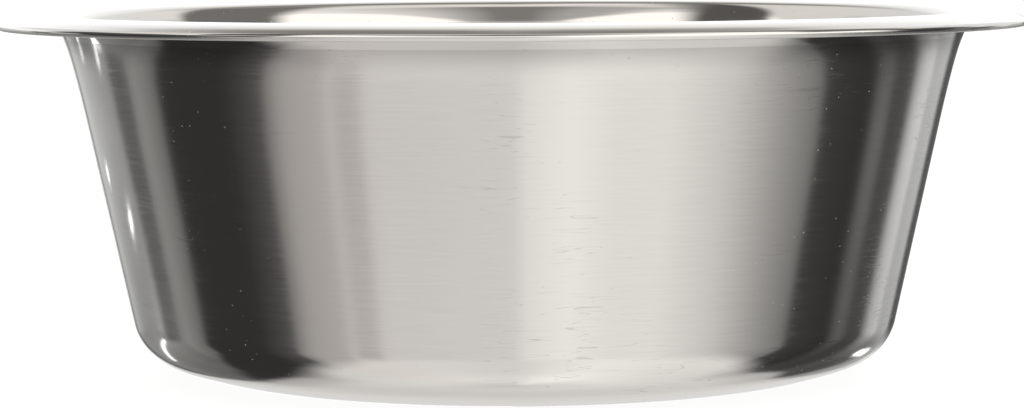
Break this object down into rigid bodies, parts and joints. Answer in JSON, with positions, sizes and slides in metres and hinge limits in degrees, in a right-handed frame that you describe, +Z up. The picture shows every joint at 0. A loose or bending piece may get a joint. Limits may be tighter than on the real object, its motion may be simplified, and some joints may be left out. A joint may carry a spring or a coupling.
{
  "type": "stainless steel dog bowl",
  "caption": "Round stainless steel feeding bowl for a dog, with a tapered wall, an arched flange and a rolled edge.",
  "frame": {"origin": "middle of the base, on the surface that the bowl stands on", "axes": "+Z up along the bowl's axis of symmetry; +X and +Y are free, because the bowl is round"},
  "size_m": [0.28, 0.28, 0.1],
  "materials": {
    "steel_brushed": "fine circular brushing, nearly polished",
    "steel_polished": "polished"
  },
  "bodies": {
    "root": {"base_panel": "steel_brushed", "base_corner": "steel_brushed", "side_wall": "steel_brushed", "rim_flange": "steel_polished", "rolled_edge": "steel_polished"}
  },
  "joints": []
}
